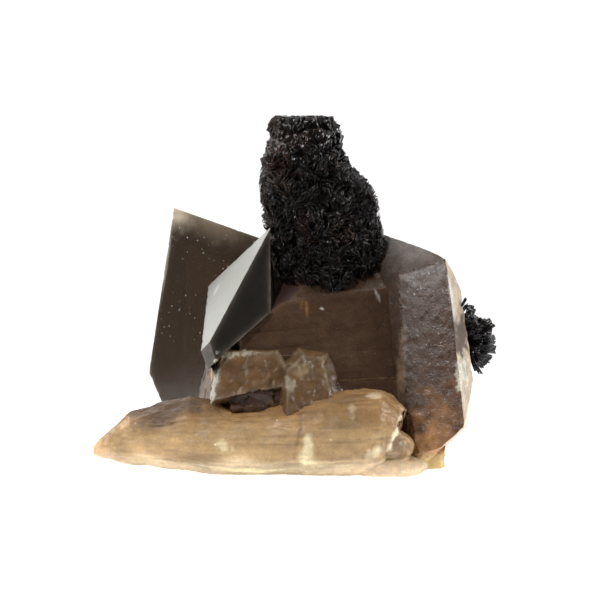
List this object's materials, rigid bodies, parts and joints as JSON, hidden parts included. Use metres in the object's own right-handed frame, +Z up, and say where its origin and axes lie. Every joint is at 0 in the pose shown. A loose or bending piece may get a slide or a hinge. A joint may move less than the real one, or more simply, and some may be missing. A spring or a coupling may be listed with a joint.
{
  "type": "smoky quartz with goethite",
  "caption": "Natural cluster of smoky quartz crystals carrying a tall bristling spray and a side tuft of black goethite, resting on a flat underside.",
  "frame": {"origin": "middle of the bounding box's underside, on the surface that the specimen rests on", "axes": "+Z up; the viewer of the best side looks along +Y with +X to the right, along the long milky crystal"},
  "size_m": [0.0598, 0.0402, 0.0517],
  "materials": {
    "smoky_quartz": "glassy crystal faces with etched and frosted patches",
    "goethite": "bright black laths with a silky sheen"
  },
  "bodies": {
    "root": {"smoky_quartz_cluster": "smoky_quartz", "goethite_spray": "goethite", "goethite_tuft": "goethite"}
  },
  "joints": []
}
